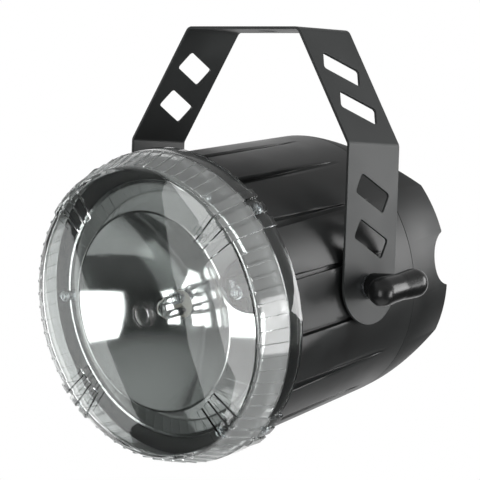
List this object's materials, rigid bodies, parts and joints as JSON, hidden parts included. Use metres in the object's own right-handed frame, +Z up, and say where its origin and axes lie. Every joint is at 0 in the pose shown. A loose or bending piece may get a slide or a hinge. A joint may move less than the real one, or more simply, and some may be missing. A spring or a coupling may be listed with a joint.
{
  "type": "strobe light",
  "caption": "Hanging strobe light: a round black lamp with a clear ribbed cover and a bright bowl reflector, tilting in a slotted steel yoke held by two T-shaped clamp knobs.",
  "frame": {"origin": "hanging point: the middle of the hanging hole at the yoke's top face", "axes": "+Z up, the lamp's front towards -Y, tipped 12.1 degrees down at rest; the tilt axis runs along X at z = -0.133 m"},
  "size_m": [0.2074, 0.1829, 0.2278],
  "materials": {
    "powder_black_steel": "fine black powder coat",
    "satin_black_plastic": "satin black moulding",
    "gloss_black_plastic": "semi-gloss black moulding",
    "clear_plastic": "clear polished",
    "bright_reflector": "mirror-bright",
    "zinc_steel": "bright zinc plate",
    "brass": "machined",
    "black_rubber": "matt",
    "clear_glass": "clear",
    "white_ceramic": "white, matt",
    "green_board": "green lacquer",
    "blue_sleeve": "shrink sleeve"
  },
  "bodies": {
    "yoke": {"yoke_bracket": "powder_black_steel", "steel_washer_right": "zinc_steel", "steel_washer_left": "zinc_steel"},
    "lamp": {"front_cover": "clear_plastic", "main_shell": "satin_black_plastic", "rear_cover": "satin_black_plastic", "reflector": "bright_reflector", "ring_terminal": "zinc_steel", "terminal_screw": "zinc_steel", "tube_holder": "white_ceramic", "flash_tube": "clear_glass", "trigger_wire": "zinc_steel", "circuit_board": "green_board", "storage_capacitor_1": "blue_sleeve", "storage_capacitor_2": "blue_sleeve", "trigger_transformer": "blue_sleeve", "ballast_resistor": "white_ceramic", "terminal_block": "white_ceramic", "rate_potentiometer": "zinc_steel", "potentiometer_nut": "zinc_steel", "fuse_holder": "gloss_black_plastic", "fuse_link": "clear_glass", "cable_gland": "gloss_black_plastic", "gland_dome_nut": "gloss_black_plastic", "gland_lock_nut": "gloss_black_plastic", "cover_screw_1": "zinc_steel", "rear_screw_1": "zinc_steel", "board_screw_1": "zinc_steel", "cover_screw_2": "zinc_steel", "rear_screw_2": "zinc_steel", "board_screw_2": "zinc_steel", "cover_screw_3": "zinc_steel", "rear_screw_3": "zinc_steel", "board_screw_3": "zinc_steel", "cover_screw_4": "zinc_steel", "rear_screw_4": "zinc_steel", "board_screw_4": "zinc_steel", "reflector_screw_1": "zinc_steel", "reflector_screw_2": "zinc_steel", "reflector_screw_3": "zinc_steel", "pivot_insert_right": "brass", "friction_washer_right": "black_rubber", "pivot_insert_left": "brass", "friction_washer_left": "black_rubber"},
    "knob_right": {"clamp_knob_right": "gloss_black_plastic", "clamp_stud_right": "zinc_steel"},
    "knob_left": {"clamp_knob_left": "gloss_black_plastic", "clamp_stud_left": "zinc_steel"},
    "rate_control": {"rate_knob": "gloss_black_plastic", "rate_shaft": "zinc_steel"},
    "fuse_carrier": {"fuse_cap": "gloss_black_plastic"}
  },
  "joints": [
    {"name": "lamp_tilt", "type": "hinge", "parent": "yoke", "child": "lamp", "pos_m": [0, 0, -0.133], "axis": [1, 0, 0], "range_deg": [-52, 77]},
    {"name": "knob_right_turn", "type": "hinge", "parent": "lamp", "child": "knob_right", "pos_m": [0.09, 0, -0.133], "axis": [1, 0, 0], "range_deg": [0, 360]},
    {"name": "knob_left_turn", "type": "hinge", "parent": "lamp", "child": "knob_left", "pos_m": [-0.09, 0, -0.133], "axis": [-1, 0, 0], "range_deg": [0, 360]},
    {"name": "rate_turn", "type": "hinge", "parent": "lamp", "child": "rate_control", "pos_m": [0, 0.06076, -0.10157], "axis": [0, 0.9778, 0.2096], "range_deg": [-150, 150]},
    {"name": "fuse_cap_turn", "type": "hinge", "parent": "lamp", "child": "fuse_carrier", "pos_m": [-0.02803, 0.06873, -0.13873], "axis": [0, 0.9778, 0.2096], "range_deg": [0, 90]}
  ]
}
